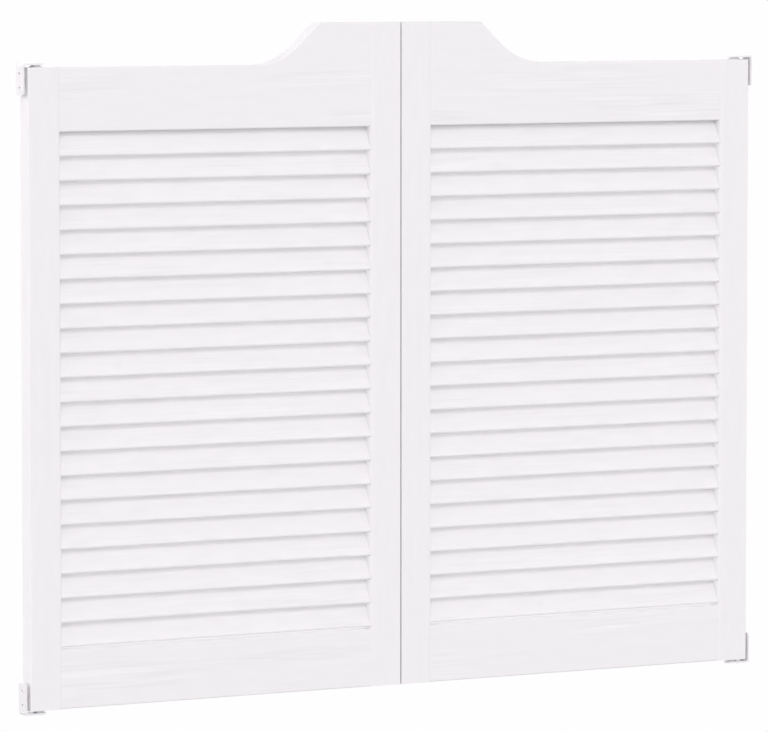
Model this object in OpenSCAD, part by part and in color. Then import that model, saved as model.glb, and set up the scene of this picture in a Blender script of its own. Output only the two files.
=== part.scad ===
// Pair of louvered cafe doors: two scroll-topped leaves that swing both ways on pivot pins.
// X runs across the pair, the front faces -Y, and Z is up from the lowest bracket.

/* [Leaf] */
// Width of one leaf
leaf_w = 665; // [560:1:800]
// Height of a leaf at its meeting edge
leaf_h = 1067; // [960:1:1250]
// Thickness of the stiles
leaf_t = 28.6; // [27:0.1:35]
// Gap between the two closed leaves
meeting_gap = 2; // [1.5:0.1:6]

/* [Scroll top] */
// How far the outer shoulder lies below the crest
crest_drop = 66.5; // [45:0.5:90]
// Width of the level crest, from the meeting edge
crest_w = 149; // [120:1:200]
// Slope of the straight ramp below the crest, in degrees
ramp_slope = 43; // [35:1:55]
// Radius of the hollow between the ramp and the shoulder
ramp_r = 114; // [40:1:140]

/* [Stiles and rails] */
// Width of each stile
stile_w = 56; // [50:0.5:75]
// Thickness of the rails
rail_t = 25.4; // [24:0.1:27]
// Height of the top rail below the shoulder
top_rail_h = 100; // [75:1:130]
// Height of the bottom rail
bottom_rail_h = 93; // [75:0.5:130]
// Rounding of the stile edges beside the louvers
inner_r = 6; // [2:0.5:7]
// Rounding of the stile edges on the outside of a leaf
outer_r = 2; // [1:0.5:4]
// Rounding of the rail edges
rail_r = 2.5; // [1:0.5:4]

/* [Louvers] */
// Louvers in one leaf
louver_count = 21; // [19:1:21]
// Width of a louver across its slope
louver_w = 44.5; // [42:0.5:47]
// Thickness of a louver, rounded over at both edges
louver_t = 7; // [5:0.5:8]
// Lean of the louvers from upright, in degrees
louver_tilt = 26; // [20:1:28]
// How far the lower edge of a louver lies behind the face of the stiles
louver_setback = 1.5; // [1:0.1:2.5]
// Gap between the lowest louver and the bottom rail
sill_gap = 3.5; // [2:0.5:8]
// Depth to which a louver end is let into the stile
louver_housing = 8; // [5:0.5:12]
// Clearance round a louver in its housing
louver_clear = 0.2; // [0.1:0.05:0.4]

/* [Dowels] */
// Radius of a dowel
dowel_r = 5; // [4:0.5:6]
// Depth of a dowel in the stile
dowel_in_stile = 25; // [18:1:28]
// Depth of a dowel in the rail
dowel_in_rail = 40; // [25:1:60]
// Wood between a dowel and the end of the nearest bush
dowel_wall = 3; // [1:0.5:8]
// Clearance round a dowel and past its ends
dowel_clear = 0.1; // [0.05:0.05:0.3]

/* [Pivots] */
// Distance of the pivot axis from the hanging edge
pivot_inset = 20; // [17:0.5:24]
// Radius of a pivot pin
pin_r = 4; // [3:0.5:5]
// How far a pin stops short of the end of its bush
pin_short = 2; // [1:0.5:5]
// Radius of the collar on a pin
collar_r = 8; // [6.5:0.5:10]
// Thickness of the collar
collar_t = 2; // [1:0.5:3]
// Outer radius of a bush
bush_r = 7; // [6:0.5:8]
// Depth of a bush in the stile
bush_depth = 20; // [16:1:24]
// Radius of the bush flange
flange_r = 10; // [9:0.5:12]
// Thickness of the bush flange
flange_t = 1.5; // [1:0.5:3]
// Running clearance round a pin in its bush
pin_clear = 0.08; // [0.04:0.01:0.1]
// Clearance of a pressed bush or a riveted pin
press_clear = 0.03; // [0.02:0.01:0.05]
// Gap between a bush flange and the collar of its pin
thrust_gap = 0.25; // [0.2:0.05:0.5]

/* [Jamb brackets] */
// Thickness of the bracket plate
plate_t = 3; // [2.5:0.5:4]
// Width of a bracket
bracket_w = 24; // [22:1:28]
// Length of the leg on the jamb
leg_h = 50; // [44:1:70]
// Clearance between the leg and the corner of the stile that swings past it
swing_clear = 1.2; // [0.6:0.1:4]
// Inside radius of the bend
bend_r = 1.5; // [1:0.5:3]
// Rounding of the corners of the leg
leg_corner_r = 5; // [2:0.5:8]
// Radius of a screw hole
screw_r = 2.25; // [1.75:0.25:2.5]
// Radius of the countersink at the face of the plate
sink_r = 4.25; // [3.5:0.25:5]
// Depth of the countersink
sink_depth = 2; // [1:0.25:2]
// Distance of the outer screw hole from the end of the leg
screw_end = 12; // [9:0.5:14]
// Distance between the two screw holes
screw_pitch = 22; // [16:1:24]

/* [Hidden] */
// Facets of a whole circle in the preview: roundings, and the hollow of the top rail
round_fn = 48;
hollow_fn = 240;
$fn = round_fn;
// Overshoot that carries a cutter past a face, and the degrees by which the hollow's cutter overlaps the next
past = 1;
hollow_over = 0.001;
SIDES = ["left", "right"];
TIMBER = "white";
FITTING = "gainsboro";
NYLON = "whitesmoke";
BEECH = "burlywood";

// Levels of a leaf
leaf_z = plate_t + collar_t + thrust_gap + flange_t;
leaf_top = leaf_z + leaf_h;
shoulder = leaf_top - crest_drop;
sill = leaf_z + bottom_rail_h;
head = shoulder - top_rail_h;
bracket_top = shoulder + leaf_z;

// Places across a leaf, from its hanging edge: the opening, the coped ends of the rails, and the crest
opening_x0 = stile_w;
opening_x1 = leaf_w - stile_w;
cope_x0 = opening_x0 - inner_r;
cope_x1 = opening_x1 + inner_r;
crest_x = leaf_w - crest_w;

// Louvers, as the circles that round their two edges
louver_pitch = (head - sill - sill_gap) / louver_count;
louver_r = louver_t / 2;
louver_chord = louver_w - louver_t;
louver_front = -leaf_t / 2 + louver_setback + louver_r;

// The hollow that joins the ramp to the shoulder
ramp_foot_x = crest_x - crest_drop / tan(ramp_slope);
hollow_reach = ramp_r * tan(ramp_slope / 2);
hollow_x = ramp_foot_x - hollow_reach;
ramp_start_x = ramp_foot_x + hollow_reach * cos(ramp_slope);
ramp_start_z = shoulder + hollow_reach * sin(ramp_slope);

// Distance of a dowel from the edge of its rail
dowel_edge = bush_depth + dowel_wall + dowel_r;

// Radius in which the corners of the hanging edge swing, and the leg that clears them
swing_r = norm([pivot_inset - outer_r, leaf_t / 2 - outer_r]) + outer_r;
leg_x = pivot_inset - swing_r - swing_clear;
jamb_x = leg_x - plate_t;
bend_outer_r = bend_r + plate_t;

LOUVERS = [for (i = [1:louver_count]) i];
function louver_name(side, i) = str(side, "_louver_", i < 10 ? "0" : "", i);

// Puts the left leaf in its place, and the right one as its mirror image
module placed(side) {
    shift = [-(leaf_w + meeting_gap / 2), 0, 0];
    if (side == "left") translate(shift) children();
    else mirror([1, 0, 0]) translate(shift) children();
}

// Turns an outline in Y and Z into a bar along X
module bar_along_x(x0, x1) {
    translate([x0, 0, 0]) rotate([90, 0, 90]) linear_extrude(x1 - x0) children();
}

// Turns an outline in X and Z into a plate about Y = 0
module plate_across_y(t) {
    rotate([90, 0, 0]) linear_extrude(t, center = true) children();
}

// What a rounding of radius r takes off a square corner at the origin
module corner_waste(r) {
    difference() {
        translate([-past, -past]) square(r + past);
        translate([r, r]) circle(r, $fn = round_fn);
    }
}

// Section of a stile: its first two corners have radius r0, and the two at width w have r1
module stile_section(w, r0, r1) {
    difference() {
        translate([0, -leaf_t / 2]) square([w, leaf_t]);
        for (s = [-1, 1]) {
            scale([1, s]) translate([0, -leaf_t / 2]) corner_waste(r0);
            scale([-1, s]) translate([-w, -leaf_t / 2]) corner_waste(r1);
        }
    }
}

// Section of the bottom rail, rounded on its four long edges
module bottom_rail_section() {
    difference() {
        translate([-rail_t / 2, leaf_z]) square([rail_t, bottom_rail_h]);
        for (s = [-1, 1]) {
            scale([s, 1]) translate([-rail_t / 2, leaf_z]) corner_waste(rail_r);
            scale([s, -1]) translate([-rail_t / 2, -sill]) corner_waste(rail_r);
        }
    }
}

// Section of louver i, counted from the top, grown by a clearance
module louver_section(i, clear = 0) {
    r = louver_r + clear;
    low = head - i * louver_pitch + louver_r;
    translate([louver_front, low]) rotate(-louver_tilt) {
        circle(r);
        translate([-r, 0]) square([2 * r, louver_chord]);
        translate([0, louver_chord]) circle(r);
    }
}

module louver(i) {
    inset = louver_housing - louver_clear;
    color(TIMBER) bar_along_x(opening_x0 - inset, opening_x1 + inset) louver_section(i);
}

// Slots for the louver ends in the inner edges of both stiles
module louver_housings() {
    for (i = LOUVERS) {
        bar_along_x(opening_x0 - louver_housing, opening_x1 + louver_housing)
            louver_section(i, louver_clear);
    }
}

function bottom_dowel_levels() = [leaf_z + dowel_edge, sill - dowel_edge];
function top_dowel_levels() = [head + dowel_edge, shoulder - dowel_edge];

// Dowels across the four joints of a leaf, grown by a clearance
module dowel_set(clear = 0) {
    hanging = concat(bottom_dowel_levels(), top_dowel_levels());
    meeting = concat(hanging, [leaf_top - dowel_edge]);
    len = dowel_in_stile + dowel_in_rail + 2 * clear;
    for (z = hanging)
        translate([opening_x0 - dowel_in_stile - clear, 0, z]) rotate([0, 90, 0])
            cylinder(r = dowel_r + clear, h = len);
    for (z = meeting)
        translate([opening_x1 - dowel_in_rail - clear, 0, z]) rotate([0, 90, 0])
            cylinder(r = dowel_r + clear, h = len);
}

module dowels() {
    color(BEECH) dowel_set();
}

// Both ends of the hanging stile: the children stand at the bottom, and again upside down at the top
module both_pivots() {
    children();
    translate([0, 0, bracket_top]) mirror([0, 0, 1]) children();
}

module bush_seat() {
    translate([pivot_inset, 0, leaf_z - past])
        cylinder(r = bush_r + press_clear, h = bush_depth + past);
}

module hanging_stile() {
    color(TIMBER) difference() {
        translate([0, 0, leaf_z]) linear_extrude(shoulder - leaf_z)
            stile_section(stile_w, outer_r, inner_r);
        louver_housings();
        dowel_set(dowel_clear);
        both_pivots() bush_seat();
    }
}

module meeting_stile() {
    color(TIMBER) difference() {
        translate([opening_x1, 0, leaf_z]) linear_extrude(leaf_h)
            stile_section(stile_w, inner_r, outer_r);
        louver_housings();
        dowel_set(dowel_clear);
    }
}

// Both stiles, which the ends of the rails are coped to fit
module stile_bars() {
    translate([0, 0, leaf_z - past]) linear_extrude(leaf_h + 2 * past) {
        stile_section(stile_w, outer_r, inner_r);
        translate([opening_x1, 0]) stile_section(stile_w, inner_r, outer_r);
    }
}

// Outline of the top rail in X and Z, before the hollow and the ends are cut
module scroll_outline() {
    polygon([
        [cope_x0, head],
        [cope_x1, head],
        [cope_x1, leaf_top],
        [crest_x, leaf_top],
        [ramp_start_x, ramp_start_z],
        [hollow_x, shoulder],
        [cope_x0, shoulder],
    ]);
}

// What rounds one straight upper edge of the top rail, from the origin along X and downward in Z
module edge_waste(len) {
    for (s = [-1, 1])
        scale([1, s, 1]) bar_along_x(0, len)
            scale([1, -1]) translate([-rail_t / 2, 0]) corner_waste(rail_r);
}

// Cutter for the hollow and its two rounded edges, about the axis of the hollow
module hollow_waste() {
    turn = ramp_slope + 2 * hollow_over;
    rotate([90, 0, 0]) rotate([0, 0, -90 - hollow_over]) rotate_extrude(angle = turn, $fn = hollow_fn) {
        translate([ramp_r / 2, -rail_t / 2 - past]) square([ramp_r / 2, rail_t + 2 * past]);
        for (s = [-1, 1])
            scale([1, s]) translate([ramp_r, -rail_t / 2]) corner_waste(rail_r);
    }
}

module top_rail() {
    ramp_len = (crest_x - ramp_start_x) / cos(ramp_slope);
    color(TIMBER) difference() {
        plate_across_y(rail_t) scroll_outline();
        translate([cope_x0 - past, 0, shoulder]) edge_waste(hollow_x - cope_x0 + past);
        translate([hollow_x, 0, shoulder + ramp_r]) hollow_waste();
        translate([ramp_start_x, 0, ramp_start_z]) rotate([0, -ramp_slope, 0])
            edge_waste(ramp_len + ramp_r);
        translate([crest_x - ramp_r, 0, leaf_top]) edge_waste(cope_x1 - crest_x + ramp_r + past);
        for (s = [-1, 1])
            scale([1, s, 1]) bar_along_x(cope_x0 - past, cope_x1 + past)
                translate([-rail_t / 2, head]) corner_waste(rail_r);
        bar_along_x(cope_x0 - past, cope_x1 + past) louver_section(1, louver_clear);
        stile_bars();
        dowel_set(dowel_clear);
    }
}

module bottom_rail() {
    color(TIMBER) difference() {
        bar_along_x(cope_x0, cope_x1) bottom_rail_section();
        stile_bars();
        dowel_set(dowel_clear);
    }
}

module pivot_bushes() {
    color(NYLON) both_pivots() translate([pivot_inset, 0, leaf_z]) difference() {
        union() {
            translate([0, 0, -flange_t]) cylinder(r = flange_r, h = flange_t);
            cylinder(r = bush_r, h = bush_depth);
        }
        translate([0, 0, -flange_t - past])
            cylinder(r = pin_r + pin_clear, h = flange_t + bush_depth + 2 * past);
    }
}

// A pin riveted into the ear, with the collar that carries the bush
module pivot_pins() {
    tip = pin_r / 4;
    shank_h = leaf_z + bush_depth - pin_short - tip;
    color(FITTING) both_pivots() translate([pivot_inset, 0, 0]) {
        cylinder(r = pin_r, h = shank_h);
        translate([0, 0, plate_t]) cylinder(r = collar_r, h = collar_t);
        translate([0, 0, shank_h]) cylinder(r1 = pin_r, r2 = pin_r - tip, h = tip);
    }
}

// Side view of the bent plate, in X and Z
module bracket_profile() {
    bend_x = jamb_x + bend_outer_r;
    translate([jamb_x, bend_outer_r]) square([plate_t, leg_h - bend_outer_r]);
    translate([bend_x, 0]) square([pivot_inset - bend_x, plate_t]);
    intersection() {
        translate([bend_x, bend_outer_r]) difference() {
            circle(bend_outer_r);
            circle(bend_r);
        }
        translate([jamb_x, 0]) square(bend_outer_r);
    }
}

module screw_hole() {
    rotate([0, 90, 0]) {
        translate([0, 0, -past]) cylinder(r = screw_r, h = plate_t + 2 * past);
        translate([0, 0, plate_t - sink_depth]) cylinder(r1 = screw_r, r2 = sink_r, h = sink_depth);
    }
}

// Jamb bracket at the foot of a leaf
module bracket() {
    difference() {
        union() {
            plate_across_y(bracket_w) bracket_profile();
            translate([pivot_inset, 0, 0]) cylinder(r = bracket_w / 2, h = plate_t);
        }
        translate([pivot_inset, 0, -past]) cylinder(r = pin_r + press_clear, h = plate_t + 2 * past);
        for (z = [leg_h - screw_end - screw_pitch, leg_h - screw_end])
            translate([jamb_x, 0, z]) screw_hole();
        for (s = [-1, 1])
            scale([1, s, 1]) bar_along_x(jamb_x - past, leg_x + past)
                scale([1, -1]) translate([-bracket_w / 2, -leg_h]) corner_waste(leg_corner_r);
    }
}

module bottom_bracket() {
    color(FITTING) bracket();
}

module top_bracket() {
    color(FITTING) translate([0, 0, bracket_top]) mirror([0, 0, 1]) bracket();
}

for (side = SIDES) placed(side) {
    hanging_stile();
    meeting_stile();
    top_rail();
    bottom_rail();
    for (i = LOUVERS) {
        louver(i);
    }
    dowels();
    pivot_bushes();
    pivot_pins();
    bottom_bracket();
    top_bracket();
}
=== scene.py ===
"""Looks of a pair of louvered cafe doors: white painted pine leaves on pivot pins, on a white ground."""

import math

import bpy
from mathutils import Euler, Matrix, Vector

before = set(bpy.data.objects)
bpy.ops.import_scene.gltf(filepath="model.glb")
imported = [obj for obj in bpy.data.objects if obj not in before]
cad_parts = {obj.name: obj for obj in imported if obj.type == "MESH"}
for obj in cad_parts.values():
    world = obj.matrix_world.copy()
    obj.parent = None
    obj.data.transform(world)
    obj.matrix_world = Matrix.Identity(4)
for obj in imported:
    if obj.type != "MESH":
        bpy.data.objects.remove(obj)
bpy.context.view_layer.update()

# Sizes in metres
MM = 0.001
FLOOR_DROP = 0.6
FLOOR_SIZE = 400.0

# The photograph's camera, in the frame of the doors
CAMERA_PLACE = (-4.583, -7.906, 1.187)
CAMERA_YAW = 29.97
CAMERA_PITCH = -4.17
CAMERA_LENS = 266.95
SENSOR_WIDTH = 36.0
CLIP_NEAR = 0.1
CLIP_FAR = 500.0

# Light: a ground seen as white, and a surround that differs in front, behind and above
GROUND = (1.0, 0.992, 1.0)
LIGHT_TINT = (1.0, 0.970, 1.0)
SKY_FRONT = 1.66
SKY_BACK = 2.04
SKY_TOP = 0.64
FLOOR_BOUNCE = 0.68

# Where the front of the surround turns into its back, and its sides into its top, along the unit direction
SKY_TURN = 0.5
SKY_FADE = 0.6

# The main light, and one from behind on the left: direction, strength and width in degrees
KEY = ((-0.40, -1.0, 0.65), 0.72, 26.0)
SIDE = ((-0.75, 0.25, 0.60), 0.50, 40.0)

# Paint and metal colours, in linear light
PAINT = (0.850, 0.850, 0.850)
ENAMEL = (0.84, 0.84, 0.84)
ZINC = (0.62, 0.63, 0.65)
NYLON = (0.80, 0.79, 0.74)
BEECH_PALE = (0.62, 0.42, 0.24)
BEECH_DARK = (0.47, 0.29, 0.15)

# The most that the wood changes the paint's brightness, as a part of it
PAINT_SPREAD = 0.1

# Patterns of the wood under the paint: length along the board and width across it, in metres
FIBRE = (0.10, 0.0030)
BAND = (0.24, 0.008)
PATCH = (0.28, 0.035)
CLOUD = (0.05, 0.014)
KNOTS = (0.14, 0.09)
BEND = (0.40, 0.06)

# Growth rings: their width, how far they wander, and how far they part round a knot, in metres
RING_WIDTH = 0.0062
RING_WANDER = 0.035
KNOT_PARTING = 0.005

# How far apart two boards lie in the patterns, and the steps that spread the boards evenly
BOARD_SHIFT = 7.0
BOARD_STEPS = (0.618, 0.755, 0.570)

# Noise of the other finishes, in waves per metre along each axis
ENAMEL_PEEL = 900.0
ENAMEL_POOL = 60.0
PIN_TURNING = (40.0, 40.0, 5000.0)
NYLON_GRAIN = 1400.0
NYLON_CLOUD = 90.0
BEECH_FLECK = (90.0, 1500.0, 1500.0)


def shade(color, factor):
    return tuple(channel * factor for channel in color)


class Shader:
    """A material's node tree, with one call for each node."""

    def __init__(self, name):
        self.material = bpy.data.materials.new(name)
        self.material.use_nodes = True
        self.tree = self.material.node_tree
        self.tree.nodes.clear()
        self.surface = self.tree.nodes.new("ShaderNodeBsdfPrincipled")
        output = self.tree.nodes.new("ShaderNodeOutputMaterial")
        self.join(self.surface.outputs["BSDF"], output.inputs["Surface"])

    def join(self, source, socket):
        """Sets a socket to a number or a colour, or links it to another node's output."""
        if isinstance(source, bpy.types.NodeSocket):
            self.tree.links.new(source, socket)
        elif isinstance(source, (int, float)):
            socket.default_value = source
        else:
            socket.default_value = tuple(source)[: len(socket.default_value)]

    def node(self, kind, inputs=None, **settings):
        made = self.tree.nodes.new("ShaderNode" + kind)
        for key, value in settings.items():
            setattr(made, key, value)
        for key, value in (inputs or {}).items():
            self.join(value, made.inputs[key])
        return made

    def math(self, operation, a, b=0.0, c=0.0):
        return self.node("Math", {0: a, 1: b, 2: c}, operation=operation).outputs[0]

    def point(self):
        """The place on the piece, which moves along with it."""
        return self.node("TexCoord").outputs["Object"]

    def axis(self, vector, index):
        return self.node("SeparateXYZ", {0: vector}).outputs[index]

    def mapped(self, vector, scale):
        return self.node("Mapping", {"Vector": vector, "Scale": scale}).outputs["Vector"]

    def noise(self, vector, scale=1.0, detail=2.0, roughness=0.5):
        inputs = {"Vector": vector, "Scale": scale, "Detail": detail, "Roughness": roughness}
        return self.node("TexNoise", inputs).outputs[0]

    def ramp(self, value, low, high, out_low=0.0, out_high=1.0):
        inputs = {0: value, 1: low, 2: high, 3: out_low, 4: out_high}
        return self.node("MapRange", inputs, interpolation_type="SMOOTHSTEP").outputs[0]

    def tint(self, amount, dark, light):
        """The colour between dark and light at that amount."""
        inputs = {0: amount, 6: (*dark, 1.0), 7: (*light, 1.0)}
        return self.node("Mix", inputs, data_type="RGBA").outputs[2]

    def bump(self, height, distance):
        return self.node("Bump", {"Height": height, "Distance": distance}).outputs["Normal"]

    def finish(self, **sockets):
        for key, value in sockets.items():
            self.join(value, self.surface.inputs[key.replace("_", " ")])
        return self.material


def painted_pine(name, along, streak, mottle, knot, painted_shading=0.0):
    """White paint that lets the pine show: streaks in patches, soft mottling, a few knots and some relief.

    The board runs along that axis, and the other numbers are parts of the paint's brightness. The last one
    is painted light and shade: it makes the paint lighter towards the bottom of the piece and darker towards
    its top.
    """
    s = Shader(name)
    board = s.node("ObjectInfo").outputs["Color"]
    shift = s.node("VectorMath", {0: board, 1: (BOARD_SHIFT,) * 3}, operation="MULTIPLY").outputs[0]
    place = s.node("VectorMath", {0: s.point(), 1: shift}, operation="ADD").outputs[0]

    def stretched(size):
        """The place, scaled for a pattern of that length and width."""
        length, width = size
        return s.mapped(place, tuple(1.0 / (length if i == along else width) for i in range(3)))

    def swing(value, gain):
        """A noise turned into a number round 0."""
        return s.math("MULTIPLY_ADD", value, gain, -0.5 * gain)

    fibre = s.noise(stretched(FIBRE), roughness=0.6)
    band = s.noise(stretched(BAND), detail=1.0)
    patch = s.ramp(s.noise(stretched(PATCH), detail=1.0), 0.45, 0.65, 0.12, 1.0)
    cloud = s.noise(stretched(CLOUD), detail=1.0)
    spot = s.node("TexVoronoi", {"Vector": stretched(KNOTS), "Scale": 1.0}).outputs["Distance"]

    bend = s.noise(stretched(BEND), detail=1.0)
    ring = s.math("MULTIPLY_ADD", bend, RING_WANDER, s.axis(s.point(), 2 if along == 0 else 0))
    ring = s.math("ADD", ring, s.ramp(spot, 0.02, 0.30, KNOT_PARTING, 0.0))
    ring = s.math("FRACT", s.math("DIVIDE", ring, RING_WIDTH))
    latewood = s.math("POWER", ring, 4.0)

    lines = s.math("ADD", swing(fibre, 3.0 * streak), swing(band, 3.0 * streak))
    lines = s.math("MULTIPLY_ADD", latewood, -0.8 * streak, lines)
    tone = s.math("MULTIPLY_ADD", lines, patch, swing(cloud, 3.0 * mottle))
    tone = s.math("ADD", tone, s.ramp(spot, 0.04, 0.09, -knot, 0.0))
    # Painted highlight and shade: the paint is made lighter towards the bottom of the piece and darker
    # towards its top
    height = s.axis(s.node("TexCoord").outputs["Generated"], 2)
    tone = s.math("ADD", tone, s.ramp(height, 0.02, 0.85, painted_shading, -painted_shading))
    amount = s.math("MULTIPLY_ADD", tone, 0.5 / PAINT_SPREAD, 0.5)
    return s.finish(
        Base_Color=s.tint(amount, shade(PAINT, 1.0 - PAINT_SPREAD), shade(PAINT, 1.0 + PAINT_SPREAD)),
        Roughness=s.ramp(fibre, 0.3, 0.7, 0.46, 0.38),
        Normal=s.bump(fibre, 0.05 * MM),
    )


def bracket_enamel():
    s = Shader("bracket_enamel")
    peel = s.noise(s.point(), ENAMEL_PEEL)
    pool = s.noise(s.point(), ENAMEL_POOL, detail=1.0)
    return s.finish(
        Base_Color=s.tint(pool, shade(ENAMEL, 0.985), ENAMEL),
        Roughness=s.ramp(peel, 0.3, 0.7, 0.24, 0.32),
        Normal=s.bump(peel, 0.03 * MM),
    )


def pin_steel():
    """Zinc plated steel with fine marks round the pin, left by turning."""
    s = Shader("pin_steel")
    turned = s.noise(s.mapped(s.point(), PIN_TURNING), detail=1.0)
    return s.finish(
        Base_Color=s.tint(turned, shade(ZINC, 0.88), ZINC),
        Metallic=1.0,
        Roughness=s.ramp(turned, 0.3, 0.7, 0.26, 0.40),
        Normal=s.bump(turned, 0.01 * MM),
    )


def bush_nylon():
    s = Shader("bush_nylon")
    grain = s.noise(s.point(), NYLON_GRAIN)
    return s.finish(
        Base_Color=s.tint(s.noise(s.point(), NYLON_CLOUD), shade(NYLON, 0.97), NYLON),
        Roughness=s.ramp(grain, 0.3, 0.7, 0.42, 0.55),
        Normal=s.bump(grain, 0.02 * MM),
        Subsurface_Weight=0.15,
    )


def dowel_beech():
    s = Shader("dowel_beech")
    fleck = s.noise(s.mapped(s.point(), BEECH_FLECK), detail=3.0)
    return s.finish(
        Base_Color=s.tint(s.ramp(fleck, 0.35, 0.65), BEECH_DARK, BEECH_PALE),
        Roughness=0.6,
        Normal=s.bump(fleck, 0.05 * MM),
    )


def dress(word, material):
    """Gives a material to each piece that has the word in its name."""
    for name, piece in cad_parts.items():
        if word in name:
            piece.data.materials.clear()
            piece.data.materials.append(material)


def dress_all():
    """Gives each board its own place in the patterns, and each piece its finish."""
    for i, name in enumerate(sorted(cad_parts), 1):
        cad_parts[name].color = (*(i * step % 1.0 for step in BOARD_STEPS), 1.0)
    dress("rail", painted_pine("painted_pine_rail", along=0, streak=0.045, mottle=0.010, knot=0.015))
    # The louvers carry painted light and shade, lighter towards their bottom and darker towards their top
    louver = painted_pine("painted_pine_louver", along=0, streak=0.030, mottle=0.022, knot=0.020, painted_shading=0.018)
    dress("louver", louver)
    dress("stile", painted_pine("painted_pine_stile", along=2, streak=0.009, mottle=0.014, knot=0.0))
    dress("bracket", bracket_enamel())
    dress("pins", pin_steel())
    dress("bushes", bush_nylon())
    dress("dowels", dowel_beech())


def seen_white(tree, lighting, strength):
    """Links a surface that looks pure white, and lights the doors with another strength."""
    seen = tree.nodes.new(lighting)
    seen.inputs["Color"].default_value = (*GROUND, 1.0)
    cast = tree.nodes.new(lighting)
    cast.inputs["Color"].default_value = (*LIGHT_TINT, 1.0)
    if isinstance(strength, bpy.types.NodeSocket):
        tree.links.new(strength, cast.inputs["Strength"])
    else:
        cast.inputs["Strength"].default_value = strength
    path = tree.nodes.new("ShaderNodeLightPath")
    mix = tree.nodes.new("ShaderNodeMixShader")
    tree.links.new(path.outputs["Is Camera Ray"], mix.inputs[0])
    tree.links.new(cast.outputs[0], mix.inputs[1])
    tree.links.new(seen.outputs[0], mix.inputs[2])
    return mix.outputs[0]


def make_floor():
    half = FLOOR_SIZE / 2
    corners = [(x * half, y * half, -FLOOR_DROP) for x, y in ((-1, -1), (1, -1), (1, 1), (-1, 1))]
    mesh = bpy.data.meshes.new("floor")
    mesh.from_pydata(corners, [], [(0, 1, 2, 3)])
    floor = bpy.data.objects.new("floor", mesh)
    bpy.context.scene.collection.objects.link(floor)
    material = bpy.data.materials.new("floor")
    material.use_nodes = True
    tree = material.node_tree
    tree.nodes.clear()
    output = tree.nodes.new("ShaderNodeOutputMaterial")
    tree.links.new(seen_white(tree, "ShaderNodeEmission", FLOOR_BOUNCE), output.inputs["Surface"])
    mesh.materials.append(material)


def make_surround():
    world = bpy.data.worlds.new("surround")
    world.use_nodes = True
    tree = world.node_tree
    tree.nodes.clear()
    output = tree.nodes.new("ShaderNodeOutputWorld")
    direction = tree.nodes.new("ShaderNodeTexCoord")
    split = tree.nodes.new("ShaderNodeSeparateXYZ")
    tree.links.new(direction.outputs["Generated"], split.inputs[0])

    def fade(axis, start, end, low, high):
        """A strength that goes from low to high along that axis of the direction."""
        made = tree.nodes.new("ShaderNodeMapRange")
        made.interpolation_type = "SMOOTHSTEP"
        tree.links.new(split.outputs[axis], made.inputs["Value"])
        for key, value in (("From Min", start), ("From Max", end), ("To Min", low), ("To Max", high)):
            if isinstance(value, bpy.types.NodeSocket):
                tree.links.new(value, made.inputs[key])
            else:
                made.inputs[key].default_value = value
        return made.outputs[0]

    level = fade("Y", -SKY_TURN, SKY_TURN, SKY_FRONT, SKY_BACK)
    strength = fade("Z", 0.0, SKY_FADE, level, SKY_TOP)
    tree.links.new(seen_white(tree, "ShaderNodeBackground", strength), output.inputs["Surface"])
    bpy.context.scene.world = world


def make_light(name, place, strength, width):
    light = bpy.data.lights.new(name, "SUN")
    light.energy = strength
    light.angle = math.radians(width)
    light.color = LIGHT_TINT
    lamp = bpy.data.objects.new(name, light)
    lamp.rotation_mode = "QUATERNION"
    lamp.rotation_quaternion = Vector(place).to_track_quat("Z", "Y")
    bpy.context.scene.collection.objects.link(lamp)


def make_camera():
    data = bpy.data.cameras.new("camera")
    data.sensor_width = SENSOR_WIDTH
    data.lens = CAMERA_LENS
    data.clip_start = CLIP_NEAR
    data.clip_end = CLIP_FAR
    camera = bpy.data.objects.new("camera", data)
    camera.location = CAMERA_PLACE
    camera.rotation_euler = Euler((math.radians(90.0 + CAMERA_PITCH), 0.0, math.radians(-CAMERA_YAW)))
    bpy.context.scene.collection.objects.link(camera)
    bpy.context.scene.camera = camera


make_camera()
make_surround()
make_light("key", *KEY)
make_light("side", *SIDE)
make_floor()
dress_all()
bpy.context.scene.view_settings.view_transform = "Standard"
